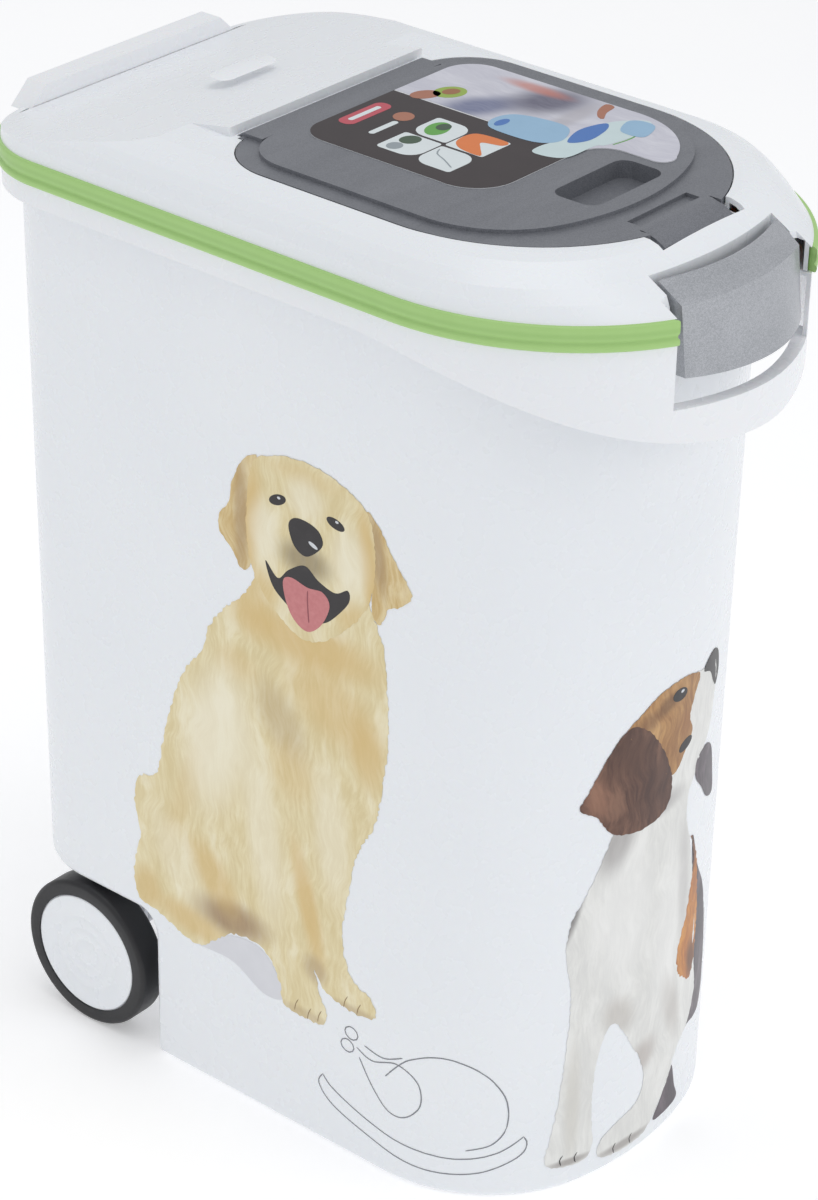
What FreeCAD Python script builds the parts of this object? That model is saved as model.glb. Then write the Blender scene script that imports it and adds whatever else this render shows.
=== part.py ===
"""Wheeled bin for dry pet food, with a hinged lid, a feeding flap and a front latch.

Millimetres.  X is the width, the front with the latch faces -Y, the wheels are at +Y
and Z is up.  The origin is the centre of the bounding box, on the floor.
"""
import FreeCAD
import Part
import math
import os
from collections import namedtuple

Vector = FreeCAD.Vector
X_AXIS = Vector(1, 0, 0)

# ---- driving sizes ---------------------------------------------------------------

BAND_HALF_WIDTH = 139.0      # the coloured closing band is the widest piece
HALF_LENGTH = 241.0          # half the length over latch and hinge
WALL = 2.5                   # moulded wall of tub and lid
RIM_TOP = 560.0              # flat rim of the tub
BAND_BOTTOM = 560.5
BAND_TOP = 575.0
LID_TOP = 600.0              # flat top of the lid, round the flap
LID_CREST = 605.6            # ridge over the flap's hinge
TUCK = 2.5                   # rim skirt and lid wall stand this far inside the band
BAND_DEPTH = 5.0             # how far the band reaches inwards
BAND_END_X = 60.0            # the band stops here, each side of the latch
LABEL_THICKNESS = 0.3
SKIRT_BOTTOM = 548.0         # lower edge of the rim skirt along the flanks
SWOOP_START_Y = -60.0        # from here the skirt's lower edge swoops down to the grip
GRIP_BOTTOM = 498.0
BEYOND = 300.0               # a distance past the bin on any side, for cutting blocks

# A horizontal outline of the bin: straight flanks, rounded rear corners, and a front of
# three arcs, two side arcs that meet one nose arc.
Outline = namedtuple("Outline", "half_width rear_y rear_r flank_end_y nose_y nose_r")

BAND = Outline(BAND_HALF_WIDTH, 222.0, 60.0, -97.0, -243.0, 108.0)
TUB_MOUTH = Outline(129.0, 211.5, 58.0, -93.0, -199.5, 160.0)
TUB_BASE = Outline(123.6, 203.0, 52.0, -93.0, -193.0, 200.0)
TUB_EDGE_R = 5.0             # rounding of the tub's lower edges

# ---- wheels and the step in the tub that they stand in ----------------------------

WHEEL_R = 49.2
WHEEL_Y = 144.7
WHEEL_FACE_X = 127.6
TYRE_WIDTH = 20.0
HUB_R = 41.0
CAP_R = 39.2
CAP_THICKNESS = 3.2
AXLE_R = 4.0
AXLE_RUNNING_GAP = 0.06
AXLE_HALF_LENGTH = 122.0
STEP_Y = 88.6                # front wall of the step
STEP_TOP = 101.0             # ceiling of the step
STEP_CORNER_R = 14.0
BRACKET_X = (84.0, 104.0)    # the two cheeks of each axle bracket start and end here
BRACKET_CHEEK = 3.0
BRACKET_R = 12.0

# ---- lid hinge --------------------------------------------------------------------

HINGE_BARREL_R = 6.5
HINGE_Y = HALF_LENGTH - HINGE_BARREL_R
HINGE_Z = 562.0
HINGE_PIN_R = 2.5
HINGE_RUNNING_GAP = 0.06
LID_KNUCKLE_X = (24.0, 38.0)
TUB_LUG_X = (38.4, 48.0)
CENTRE_LUG_X = 23.6

# ---- flap in the lid --------------------------------------------------------------

FLAP_HALF_WIDTH = 108.8
FLAP_NOSE_CENTRE_Y = -79.0   # the front of the flap is a half circle about this point
FLAP_REAR_Y = 57.0
FLAP_REAR_R = 40.0
FLAP_GAP = 0.8               # gap between the flap and the lid all round
FLAP_SEAT_Z = 595.0          # ledge of the lid that the flap's gasket rests on
FLAP_TOP = 600.0
FLAP_WALL = 2.4
FLAP_PANEL_TOP = 602.4
FLAP_PANEL = Outline(97.0, 45.0, 30.0, -85.0, -156.0, 150.0)
OPENING = Outline(90.0, 36.0, 22.0, -85.0, -153.0, 140.0)
NECK_BOTTOM = 584.0
FLAP_HINGE_Y = 58.0
FLAP_HINGE_Z = 598.6
FLAP_BARREL_R = 3.8
FLAP_STUB_R = 2.0
FLAP_STUB_LENGTH = 2.4
FLAP_HINGE_HALF_WIDTH = 76.0
CREST_HALF_WIDTH = 81.0
CREST_Y = 63.5
LID_REAR_Z = 578.0           # height of the sloping rear deck at LID_REAR_Y
LID_REAR_Y = 209.0

# ---- latch ------------------------------------------------------------------------

LATCH_WALL = 2.4
LATCH_PIVOT_Y = -210.0
LATCH_PIVOT_Z = 578.0
LATCH_STUB_R = 2.0
POCKET_HALF_WIDTH = 54.5
WINDOW_HALF_WIDTH = BAND_END_X   # window in the rim skirt, under the pocket
POCKET_MID_Y = -207.0        # curved back wall of the latch's pocket, at its middle
POCKET_END_Y = -199.7        # and at its ends
POCKET_FLOOR_Z = 564.5
LEDGE_Y = -215.0             # front edge of the rim ledge over the latch's hook
HOOK_GAP = 0.8               # the hook stops this far short of the ledge, so the lid lifts freely
LATCH_SIDE_GAP = 2.6         # room between the ledge and the latch's side edges as it swings
HOOK_Z = (553.2, 556.6)
HOOK_HALF_WIDTH = 24.0
LATCH_BACK_Y = -196.0
LATCH_EYE_R = 3.8
GRIP_TOP = 523.0
GRIP_DEPTH = 8.0
GRIP_HALF_WIDTH = 70.0
# outer face of the latch: height, half width, y at its middle, y at its ends
LatchLevel = namedtuple("LatchLevel", "z half_width mid_y end_y")
LATCH_FACE = [
    LatchLevel(539.0, 52.0, -HALF_LENGTH, -224.9),
    LatchLevel(578.3, 52.2, -229.0, -220.2),
    LatchLevel(587.8, 52.8, -214.5, -205.6),
]


# ---- helpers ----------------------------------------------------------------------

def inset(outline, amount):
    """The same outline moved inwards all round by an amount."""
    return Outline(outline.half_width - amount, outline.rear_y - amount, outline.rear_r - amount,
                   outline.flank_end_y, outline.nose_y + amount, outline.nose_r - amount)


def bin_wire(outline, z):
    """Closed wire of an outline at height z, always with its edges in the same order."""
    w, rear, rear_r, flank_y, nose_y, nose_r = outline
    depth = flank_y - nose_y
    side_r = (w * w + depth * depth - 2 * depth * nose_r) / (2 * (w - nose_r))
    side_centre_x = w - side_r
    nose_centre_y = nose_y + nose_r
    to_nose = Vector(-side_centre_x, nose_centre_y - flank_y, 0)
    if nose_r > side_r:
        to_nose = to_nose.negative()
    direction = to_nose.normalize()
    join = Vector(side_centre_x, flank_y, 0) + direction * side_r
    half_turn = Vector(side_centre_x, flank_y, 0) + (direction + X_AXIS).normalize() * side_r
    nose_angle = math.atan2(nose_centre_y - join.y, join.x)
    quarter_angle = (nose_angle + math.pi / 2) / 2
    nose_mid = Vector(nose_r * math.cos(quarter_angle), nose_centre_y - nose_r * math.sin(quarter_angle), 0)
    nose = Vector(0, nose_y, 0)
    slant = rear_r * (1 - math.sqrt(0.5))

    def at(x, y):
        return Vector(x, y, z)

    def lift(point, side=1):
        return Vector(side * point.x, point.y, z)

    def arc(a, b, c):
        return Part.Arc(a, b, c).toShape()

    edges = [
        Part.makeLine(at(w, flank_y), at(w, rear - rear_r)),
        arc(at(w, rear - rear_r), at(w - slant, rear - slant), at(w - rear_r, rear)),
        Part.makeLine(at(w - rear_r, rear), at(rear_r - w, rear)),
        arc(at(rear_r - w, rear), at(slant - w, rear - slant), at(-w, rear - rear_r)),
        Part.makeLine(at(-w, rear - rear_r), at(-w, flank_y)),
        arc(at(-w, flank_y), lift(half_turn, -1), lift(join, -1)),
        arc(lift(join, -1), lift(nose_mid, -1), lift(nose)),
        arc(lift(nose), lift(nose_mid), lift(join)),
        arc(lift(join), lift(half_turn), at(w, flank_y)),
    ]
    return Part.Wire(edges)


def bin_block(outline, z_low, z_high):
    """Upright solid with the same outline at every height."""
    face = Part.Face(bin_wire(outline, z_low))
    return face.extrude(Vector(0, 0, z_high - z_low))


def bin_ring(outline, thickness, z_low, z_high):
    """Upright ring whose outer side is the outline."""
    return bin_block(outline, z_low, z_high).cut(bin_block(inset(outline, thickness), z_low - 1, z_high + 1))


def box(x0, x1, y0, y1, z0, z1):
    return Part.makeBox(x1 - x0, y1 - y0, z1 - z0, Vector(x0, y0, z0))


def mirrored(shape):
    """The same shape on the other side of the bin."""
    return shape.mirror(Vector(0, 0, 0), X_AXIS)


def both_sides(shape):
    return [shape, mirrored(shape)]


def across(radius, x0, x1, y, z):
    """Cylinder that lies along X."""
    return Part.makeCylinder(radius, x1 - x0, Vector(x0, y, z), X_AXIS)


def side_prism(points, x0, x1):
    """Prism along X over a polygon of (y, z) points."""
    corners = [Vector(x0, y, z) for y, z in points]
    face = Part.Face(Part.makePolygon(corners + corners[:1]))
    return face.extrude(Vector(x1 - x0, 0, 0))


def union(first, *others):
    whole = first
    for other in others:
        whole = whole.fuse(other)
    return whole


def rounded_edge(centre, radius, start, end):
    """Arc in a YZ side view about a (y, z) centre, between two angles in degrees."""
    def at(angle):
        turn = math.radians(angle)
        return Vector(0, centre[0] + radius * math.cos(turn), centre[1] + radius * math.sin(turn))
    return Part.Arc(at(start), at((start + end) / 2), at(end)).toShape()


# ---- tub --------------------------------------------------------------------------

def step_profile(grow):
    """Side view of the room taken out under the rear of the tub, for the wheels.

    grow moves the profile outwards, by a wall's thickness for the inside of the tub.
    """
    front = STEP_Y - grow
    top = STEP_TOP + grow
    low = -20.0
    rear = BEYOND
    r_in = STEP_CORNER_R + grow
    corner = (front + r_in, top - r_in)
    edges = [
        Part.makeLine(Vector(0, rear, low), Vector(0, front, low)),
        Part.makeLine(Vector(0, front, low), Vector(0, front, corner[1])),
        rounded_edge(corner, r_in, 180, 90),
        Part.makeLine(Vector(0, corner[0], top), Vector(0, rear, top)),
        Part.makeLine(Vector(0, rear, top), Vector(0, rear, low)),
    ]
    face = Part.Face(Part.Wire(edges))
    face.translate(Vector(-BEYOND, 0, 0))
    return face.extrude(Vector(2 * BEYOND, 0, 0))


def tub_form(thickness, z_low, z_high):
    """Tapered block between the base outline and the mouth outline, moved inwards."""
    def at(z):
        share = z / RIM_TOP
        mixed = [low + (high - low) * share for low, high in zip(TUB_BASE, TUB_MOUTH)]
        return bin_wire(inset(Outline(*mixed), thickness), z)
    return Part.makeLoft([at(z_low), at(z_high)], True, True)


def swoop():
    """Everything under the rim skirt's lower edge, which swoops down to the grip."""
    def at(y, z):
        return Vector(-BEYOND, y, z)

    edge = Part.BezierCurve()
    edge.setPoles([at(SWOOP_START_Y, SKIRT_BOTTOM), at(-135, SKIRT_BOTTOM), at(-185, 518),
                   at(-HALF_LENGTH, GRIP_BOTTOM)])
    corners = [at(-HALF_LENGTH, GRIP_BOTTOM), at(-BEYOND, GRIP_BOTTOM), at(-BEYOND, GRIP_BOTTOM - 100),
               at(BEYOND, GRIP_BOTTOM - 100), at(BEYOND, SKIRT_BOTTOM), at(SWOOP_START_Y, SKIRT_BOTTOM)]
    straight = [Part.makeLine(start, end) for start, end in zip(corners, corners[1:])]
    return Part.Face(Part.Wire([edge.toShape()] + straight)).extrude(Vector(2 * BEYOND, 0, 0))


def tub_rim():
    """Flat rim, skirt and grip bar, with the window that the latch hangs in."""
    skirt = inset(BAND, TUCK)
    low = GRIP_BOTTOM - 10
    flange = bin_block(skirt, RIM_TOP - WALL, RIM_TOP)
    apron = bin_ring(skirt, WALL, low, RIM_TOP)
    front = box(-GRIP_HALF_WIDTH, GRIP_HALF_WIDTH, -BEYOND, -190, low, GRIP_TOP)
    grip = bin_ring(skirt, GRIP_DEPTH, low, GRIP_TOP).common(front)
    rim = union(flange, apron, grip).cut(swoop())
    return rim.cut(box(-WINDOW_HALF_WIDTH, WINDOW_HALF_WIDTH, -BEYOND, LEDGE_Y, GRIP_TOP, RIM_TOP + 1))


def ledge_lip():
    """Stiffening lip under the rim ledge, behind the latch's hook."""
    return box(-57, 57, -211.5, -208.5, 548, RIM_TOP - 1)


def hinge_lug(x0, x1):
    arm = side_prism([(215, 547), (236, 556), (HINGE_Y, HINGE_Z), (228, HINGE_Z),
                      (228, 559.5), (215, 559.5)], x0, x1)
    return union(arm, across(HINGE_BARREL_R, x0, x1, HINGE_Y, HINGE_Z))


def axle_bracket():
    """One of the two brackets under the tub that hold the axle, on the +X side."""
    start, end = BRACKET_X

    def cheek(x):
        plate = box(x, x + BRACKET_CHEEK, WHEEL_Y - BRACKET_R, WHEEL_Y + BRACKET_R, WHEEL_R, STEP_TOP + 1)
        return plate.fuse(across(BRACKET_R, x, x + BRACKET_CHEEK, WHEEL_Y, WHEEL_R))

    tube = across(BRACKET_R - 4, start, end, WHEEL_Y, WHEEL_R)
    web = box(start, end, WHEEL_Y - 1.5, WHEEL_Y + 1.5, WHEEL_R, STEP_TOP + 1)
    return union(cheek(start), cheek(end - BRACKET_CHEEK), tube, web)


def sharp(edge):
    """Level edges of the base and of the step's ceiling, and the step's upright corners."""
    size = edge.BoundBox
    level = size.ZLength < 0.01 and (size.ZMax < 0.01 or size.YMax > STEP_Y + STEP_CORNER_R + 1)
    upright = size.ZLength > 50 and abs(size.YMax - STEP_Y) < 0.01
    return level or upright


def tub():
    outside = tub_form(0, 0, RIM_TOP).cut(step_profile(0))
    low_edges = [edge for edge in outside.Edges if edge.BoundBox.ZMax < STEP_TOP + 1 and sharp(edge)]
    outside = outside.makeFillet(TUB_EDGE_R, low_edges)
    inside = tub_form(WALL, WALL, RIM_TOP + 1).cut(step_profile(WALL))
    lugs = [hinge_lug(-CENTRE_LUG_X, CENTRE_LUG_X)] + both_sides(hinge_lug(*TUB_LUG_X))
    body = union(outside, tub_rim(), ledge_lip(), *lugs, *both_sides(axle_bracket()))
    body = body.cut(inside)
    body = body.cut(across(AXLE_R, -AXLE_HALF_LENGTH, AXLE_HALF_LENGTH, WHEEL_Y, WHEEL_R))
    return body.cut(across(HINGE_PIN_R, -TUB_LUG_X[1], TUB_LUG_X[1], HINGE_Y, HINGE_Z))


# ---- lid --------------------------------------------------------------------------

# Sections of the lid's rounded edge.  The lid falls further at the nose, down to the latch,
# than along its flanks.
DomeLevel = namedtuple("DomeLevel", "z flank_inset nose_y")
DOME = [
    DomeLevel(BAND_TOP, TUCK, BAND.nose_y + 4.5),
    DomeLevel(583.0, 3.6, -221.0),
    DomeLevel(589.5, 7.0, -208.5),
    DomeLevel(594.5, 12.5, -202.0),
    DomeLevel(598.5, 21.0, -196.0),
    DomeLevel(LID_TOP, 31.0, -191.0),
]
# every level joins its nose and side arcs at this angle, so the faces between levels don't twist
DOME_JOIN = math.radians(70)


def dome(wall):
    """Soft-edged block of the lid above the band; wall moves every side inwards."""
    wires = []
    for level in DOME:
        z = level.z if level.z == BAND_TOP else level.z - wall
        flank = inset(BAND, level.flank_inset)
        depth = flank.flank_end_y - level.nose_y
        spread = (1 - math.sin(DOME_JOIN)) / math.cos(DOME_JOIN)
        side_r = (depth - flank.half_width * spread) / (1 - spread)
        nose_r = depth + (flank.half_width - side_r) * math.tan(DOME_JOIN)
        outline = Outline(flank.half_width, flank.rear_y, flank.rear_r, flank.flank_end_y,
                          level.nose_y, nose_r)
        wires.append(bin_wire(inset(outline, wall), z))
    block = Part.makeLoft(wires, True, True)
    half = CREST_HALF_WIDTH - wall
    crest = box(-half, half, CREST_Y + wall, 120, LID_TOP - 8, LID_CREST + 1)
    return block.fuse(crest).cut(above_deck(wall))


def above_deck(wall):
    """Everything over the rear deck, which slopes down from the crest to the rear."""
    slope = (LID_CREST - LID_REAR_Z) / (LID_REAR_Y - CREST_Y)
    start = CREST_Y - 8

    def deck_z(y):
        return LID_CREST - wall - slope * (y - CREST_Y)

    over = LID_CREST + 40
    corners = [(start, deck_z(start)), (BEYOND, deck_z(BEYOND)), (BEYOND, over), (start, over)]
    return side_prism(corners, -BEYOND, BEYOND)


def hinge_cover():
    """Upstand at the rear of the lid, over the hinge."""
    foot, crown = 87.0, 73.0
    front, rear, top = 212.0, 227.0, 588.0
    corners = [Vector(-foot, front, BAND_TOP), Vector(-crown, front, top),
               Vector(crown, front, top), Vector(foot, front, BAND_TOP)]
    face = Part.Face(Part.makePolygon(corners + corners[:1]))
    return face.extrude(Vector(0, rear - front, 0))


def hinge_knuckle(x0, x1):
    corners = [(222.4, BAND_TOP + 1), (222.4, HINGE_Z), (HINGE_Y, HINGE_Z), (239, 568), (227, 584),
               (224, 584)]
    arm = side_prism(corners, x0, x1)
    return union(arm, across(HINGE_BARREL_R, x0, x1, HINGE_Y, HINGE_Z))


def flap_outline(offset, z):
    """Closed wire of the flap's outline; a positive offset makes it larger."""
    w = FLAP_HALF_WIDTH + offset
    rear = FLAP_REAR_Y + offset
    r = FLAP_REAR_R + offset
    slant = r * (1 - math.sqrt(0.5))
    y0 = FLAP_NOSE_CENTRE_Y

    def at(x, y):
        return Vector(x, y, z)

    edges = [
        Part.makeLine(at(w, y0), at(w, rear - r)),
        Part.Arc(at(w, rear - r), at(w - slant, rear - slant), at(w - r, rear)).toShape(),
        Part.makeLine(at(w - r, rear), at(r - w, rear)),
        Part.Arc(at(r - w, rear), at(slant - w, rear - slant), at(-w, rear - r)).toShape(),
        Part.makeLine(at(-w, rear - r), at(-w, y0)),
        Part.Arc(at(-w, y0), at(0, y0 - w), at(w, y0)).toShape(),
    ]
    return Part.Wire(edges)


def flap_block(offset, z_low, z_high):
    return Part.Face(flap_outline(offset, z_low)).extrude(Vector(0, 0, z_high - z_low))


def hinge_trough(grow):
    """Room for the flap's hinge barrel under the crest of the lid."""
    radius = FLAP_BARREL_R + 1.0 + grow
    reach = FLAP_HINGE_HALF_WIDTH + 1.0 + grow
    trough = across(radius, -reach, reach, FLAP_HINGE_Y, FLAP_HINGE_Z)
    mouth = box(-reach, reach, 40, FLAP_HINGE_Y + radius, FLAP_HINGE_Z, LID_CREST + 2)
    return trough.fuse(mouth) if not grow else trough


def catch_recess():
    """Dip in the lid in front of the flap, for the catch and a fingertip."""
    return side_prism([(-170, FLAP_SEAT_Z), (-193, 592), (-200, 606), (-170, 606)], -36, 36)


def latch_pocket(grow):
    """Room for the latch at the front of the lid, with a curved back wall."""
    half = POCKET_HALF_WIDTH + grow
    z = POCKET_FLOOR_Z - grow

    def at(x, y):
        return Vector(x, y, z)

    end_y = POCKET_END_Y + grow
    corners = [at(half, end_y), at(half, -BEYOND), at(-half, -BEYOND), at(-half, end_y)]
    sides = [Part.makeLine(start, end) for start, end in zip(corners, corners[1:])]
    back = Part.Arc(corners[3], at(0, POCKET_MID_Y + grow), corners[0]).toShape()
    return Part.Face(Part.Wire(sides + [back])).extrude(Vector(0, 0, LID_CREST - z))


def beside_latch():
    """Room cut from the lid's front so that the latch's cheeks stand free of it."""
    half = BAND_END_X
    front = -BEYOND
    slant = [(-211.0, 585), (-214.2, 577), (LEDGE_Y - 0.8, 567.5), (LEDGE_Y - 0.8, BAND_BOTTOM - 1)]
    return side_prism([(front, 585)] + slant + [(front, BAND_BOTTOM - 1)], -half, half)


def lid():
    low_rim = inset(BAND, BAND_DEPTH)
    outside = dome(0).fuse(bin_block(low_rim, BAND_BOTTOM, BAND_TOP))
    # a shelf as thick as the wall joins the low rim to the wider dome over the band
    shelf_top = BAND_TOP + WALL
    dome_room = dome(WALL).cut(bin_block(BAND, BAND_TOP - 1, shelf_top))
    inside = dome_room.fuse(bin_block(inset(low_rim, WALL), BAND_BOTTOM - 1, shelf_top))
    seat = flap_block(FLAP_GAP + WALL, FLAP_SEAT_Z - WALL, LID_TOP + 3)
    neck = bin_block(inset(OPENING, -WALL), NECK_BOTTOM, FLAP_SEAT_Z)
    catch_wall = catch_recess().translated(Vector(0, 0, -WALL))
    linings = union(seat, latch_pocket(WALL), hinge_trough(WALL), catch_wall).common(outside)
    knuckles = both_sides(hinge_knuckle(*LID_KNUCKLE_X))
    body = union(outside.cut(inside), linings, neck, hinge_cover(), *knuckles)
    rooms = [latch_pocket(0), beside_latch(), flap_block(FLAP_GAP, FLAP_SEAT_Z, LID_CREST + 3),
             bin_block(OPENING, NECK_BOTTOM - 1, LID_CREST), hinge_trough(0), catch_recess()]
    flap_reach = FLAP_HINGE_HALF_WIDTH + 1.5 + FLAP_STUB_LENGTH
    bores = [across(HINGE_PIN_R + HINGE_RUNNING_GAP, -60, 60, HINGE_Y, HINGE_Z),
             across(FLAP_STUB_R + HINGE_RUNNING_GAP, -flap_reach, flap_reach, FLAP_HINGE_Y, FLAP_HINGE_Z),
             across(LATCH_STUB_R + HINGE_RUNNING_GAP, -60, 60, LATCH_PIVOT_Y, LATCH_PIVOT_Z)]
    for room in rooms + bores:
        body = body.cut(room)
    return body


def seal_band():
    """Soft band that closes the joint between lid and tub; it stops short of the latch."""
    ring = bin_ring(BAND, BAND_DEPTH, BAND_BOTTOM, BAND_TOP)
    return ring.cut(box(-BAND_END_X, BAND_END_X, -BEYOND, POCKET_END_Y, BAND_BOTTOM - 1, BAND_TOP + 1))


def lid_hinge_pin():
    return across(HINGE_PIN_R, -TUB_LUG_X[1], TUB_LUG_X[1], HINGE_Y, HINGE_Z)


# ---- flap and what is on it ---------------------------------------------------------

def thumb_cup(grow):
    """Round-cornered room for a thumb in front of the label, sunk into the flap."""
    room = box(-28 - grow, 36 + grow, -144 - grow, -114 + grow, 592 - grow, 610)
    upright = [edge for edge in room.Edges if edge.BoundBox.ZLength > 1]
    return room.makeFillet(8.0 + grow, upright)


def catch_tongue():
    """Springy tongue at the flap's front, which snaps into the dip in the lid."""
    return side_prism([(-173, 597.6), (-173, 600), (-178, 600), (-186, 598), (-192, 594.8), (-192, 593.2),
                       (-184, 596), (-178, 597.6)], -30, 30)


def flap():
    under = FLAP_TOP - FLAP_WALL
    half = FLAP_HINGE_HALF_WIDTH
    reach = half + 1 + FLAP_STUB_LENGTH
    plate = flap_block(0, under, FLAP_TOP)
    edge = flap_block(0, FLAP_SEAT_Z + 0.5, under).cut(flap_block(-FLAP_WALL, FLAP_SEAT_Z, under))
    panel = bin_block(FLAP_PANEL, under, FLAP_PANEL_TOP)
    strap = box(-half, half, FLAP_PANEL.rear_y, FLAP_HINGE_Y, under, FLAP_PANEL_TOP)
    barrel = across(FLAP_BARREL_R, -half, half, FLAP_HINGE_Y, FLAP_HINGE_Z)
    stubs = across(FLAP_STUB_R, -reach, reach, FLAP_HINGE_Y, FLAP_HINGE_Z)
    hollow = bin_block(inset(FLAP_PANEL, FLAP_WALL), under - 5, FLAP_PANEL_TOP - FLAP_WALL)
    shell = union(plate, edge, panel, strap, barrel, stubs).cut(hollow).cut(tongue_slot())
    cup = thumb_cup(2.0).common(bin_block(FLAP_PANEL, FLAP_SEAT_Z - 10, FLAP_PANEL_TOP))
    ties = both_sides(box(-31, -26, -176, -160, under, FLAP_TOP))
    slot_floor = box(-32, 32, -173.5, -163, FLAP_SEAT_Z + 0.6, under)
    return union(shell, cup, catch_tongue(), *ties, slot_floor).cut(thumb_cup(0))


def tongue_slot():
    """Room round the catch tongue: a slot behind it and a notch in the flap's front edge."""
    half = 31.0
    under = FLAP_SEAT_Z - 3
    slot = box(-half, half, -173, -164, under, FLAP_PANEL_TOP + 1)
    notch = box(-half, half, -190, -173, under, FLAP_TOP + 1)
    return slot.fuse(notch)


def flap_gasket():
    """Soft ring under the flap that seals on the ledge round the food opening."""
    return bin_ring(inset(OPENING, -WALL - 6), 3.0, FLAP_SEAT_Z + 0.2, FLAP_TOP - FLAP_WALL)


def label_wire(z):
    """Outline of the label, which runs round the thumb cup."""
    def at(x, y):
        return Vector(x, y, z)

    def arc(*points):
        return Part.Arc(*[at(x, y) for x, y in points]).toShape()

    edges = [
        Part.makeLine(at(-56, 20), at(-56, -62)),
        arc((-56, -62), (-49, -84), (-30, -92)),
        Part.makeLine(at(-30, -92), at(24, -92)),
        arc((24, -92), (38, -98), (43, -112)),
        Part.makeLine(at(43, -112), at(43, -128)),
        arc((43, -128), (47, -136), (57, -135)),
        arc((57, -135), (85, -110), (92, -78)),
        Part.makeLine(at(92, -78), at(92, 16)),
        arc((92, 16), (86.5, 31.5), (72, 38)),
        Part.makeLine(at(72, 38), at(-38, 38)),
        arc((-38, 38), (-50.7, 32.7), (-56, 20)),
    ]
    return Part.Wire(edges)


def flap_label():
    return Part.Face(label_wire(FLAP_PANEL_TOP)).extrude(Vector(0, 0, LABEL_THICKNESS))


# ---- latch --------------------------------------------------------------------------

def latch_block(grow, low, high):
    """Block behind the latch's curved face, moved inwards by grow, between two heights."""
    def section(level, z):
        half = level.half_width - grow
        end_y = level.end_y + grow
        corners = [Vector(half, end_y, z), Vector(half, LATCH_BACK_Y, z),
                   Vector(-half, LATCH_BACK_Y, z), Vector(-half, end_y, z)]
        sides = [Part.makeLine(start, end) for start, end in zip(corners, corners[1:])]
        front = Part.Arc(corners[3], Vector(0, level.mid_y + grow, z), corners[0])
        return Part.Wire(sides + [front.toShape()])

    bottom, ridge, top = LATCH_FACE
    ridge_z = ridge.z - grow / 2
    lower = Part.makeLoft([section(bottom, low), section(ridge, ridge_z)], True, True)
    upper = Part.makeLoft([section(ridge, ridge_z), section(top, high)], True, True)
    return lower.fuse(upper)


def latch():
    bottom, ridge, top = LATCH_FACE
    solid = latch_block(0, bottom.z, top.z)
    hollow = latch_block(LATCH_WALL, bottom.z - 1, top.z + 1)
    # the back of the cheeks leans forward towards the bottom, clear of the ledge
    clear_y = LEDGE_Y - LATCH_SIDE_GAP
    slant = [(-190, 600), (-204.6, 590), (-205.4, 573), (clear_y, 566), (clear_y, 530), (-190, 530)]
    shell = solid.cut(hollow).cut(side_prism(slant, -BEYOND, BEYOND))
    hook_end = LEDGE_Y - HOOK_GAP
    hook = box(-HOOK_HALF_WIDTH, HOOK_HALF_WIDTH, -HALF_LENGTH, hook_end, *HOOK_Z).common(solid)
    stub = across(LATCH_STUB_R, 49.5, POCKET_HALF_WIDTH + WALL, LATCH_PIVOT_Y, LATCH_PIVOT_Z)
    eye = across(LATCH_EYE_R, 49.9, 52.3, LATCH_PIVOT_Y, LATCH_PIVOT_Z)
    return union(shell, hook, *both_sides(stub), *both_sides(eye))


# ---- wheels ---------------------------------------------------------------------------

def axle():
    return across(AXLE_R, -AXLE_HALF_LENGTH, AXLE_HALF_LENGTH, WHEEL_Y, WHEEL_R)


def turned(profile):
    """Solid of revolution about the axle from (x, radius) points, on the +X side."""
    corners = [Vector(x, WHEEL_Y, WHEEL_R + r) for x, r in profile]
    face = Part.Face(Part.makePolygon(corners + corners[:1]))
    return face.revolve(Vector(0, WHEEL_Y, WHEEL_R), X_AXIS, 360)


def hub():
    """Wheel hub: a rim, a web and a boss that runs on the axle."""
    inner = WHEEL_FACE_X - TYRE_WIDTH
    outer = WHEEL_FACE_X - 1.0
    floor = WHEEL_FACE_X - 0.4 - CAP_THICKNESS
    web = (115.0, 118.0)
    boss_start, boss_r = 104.6, 8.0
    bore = AXLE_R + AXLE_RUNNING_GAP
    cap_room = CAP_R + 0.1
    return turned([(boss_start, bore), (boss_start, boss_r), (web[0], boss_r), (web[0], HUB_R - 3),
                   (inner, HUB_R - 3), (inner, HUB_R), (outer, HUB_R), (outer, cap_room), (floor, cap_room),
                   (floor, CAP_R - 3), (web[1], CAP_R - 3), (web[1], bore)])


def tyre():
    inner = WHEEL_FACE_X - TYRE_WIDTH
    face = WHEEL_FACE_X
    lip = CAP_R + 0.3
    soft = 2.5
    return turned([(inner, HUB_R), (inner, WHEEL_R - soft), (inner + soft, WHEEL_R), (face - soft, WHEEL_R),
                   (face, WHEEL_R - soft), (face, lip), (face - 1.0, lip), (face - 1.0, HUB_R)])


def wheel_cap():
    """Flat white disc that closes the hub, with a clip ring behind it."""
    face = WHEEL_FACE_X - 0.4
    back = face - CAP_THICKNESS
    return turned([(back, CAP_R), (face - 0.6, CAP_R), (face, CAP_R - 0.6), (face, 0), (face - 2.2, 0),
                   (face - 2.2, CAP_R - 2), (back, CAP_R - 2)])


def push_nut():
    """Spring ring pressed on the axle's end, which keeps the wheel on."""
    return turned([(118.3, AXLE_R), (118.3, 8.5), (119.3, 8.5), (120.6, AXLE_R)])


PIECES = {
    "tub": tub,
    "lid": lid,
    "seal_band": seal_band,
    "lid_hinge_pin": lid_hinge_pin,
    "flap": flap,
    "flap_gasket": flap_gasket,
    "flap_label": flap_label,
    "latch": latch,
    "axle": axle,
}
WHEEL_PIECES = {
    "wheel_hub": hub,
    "wheel_tyre": tyre,
    "wheel_cap": wheel_cap,
    "push_nut": push_nut,
}


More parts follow.
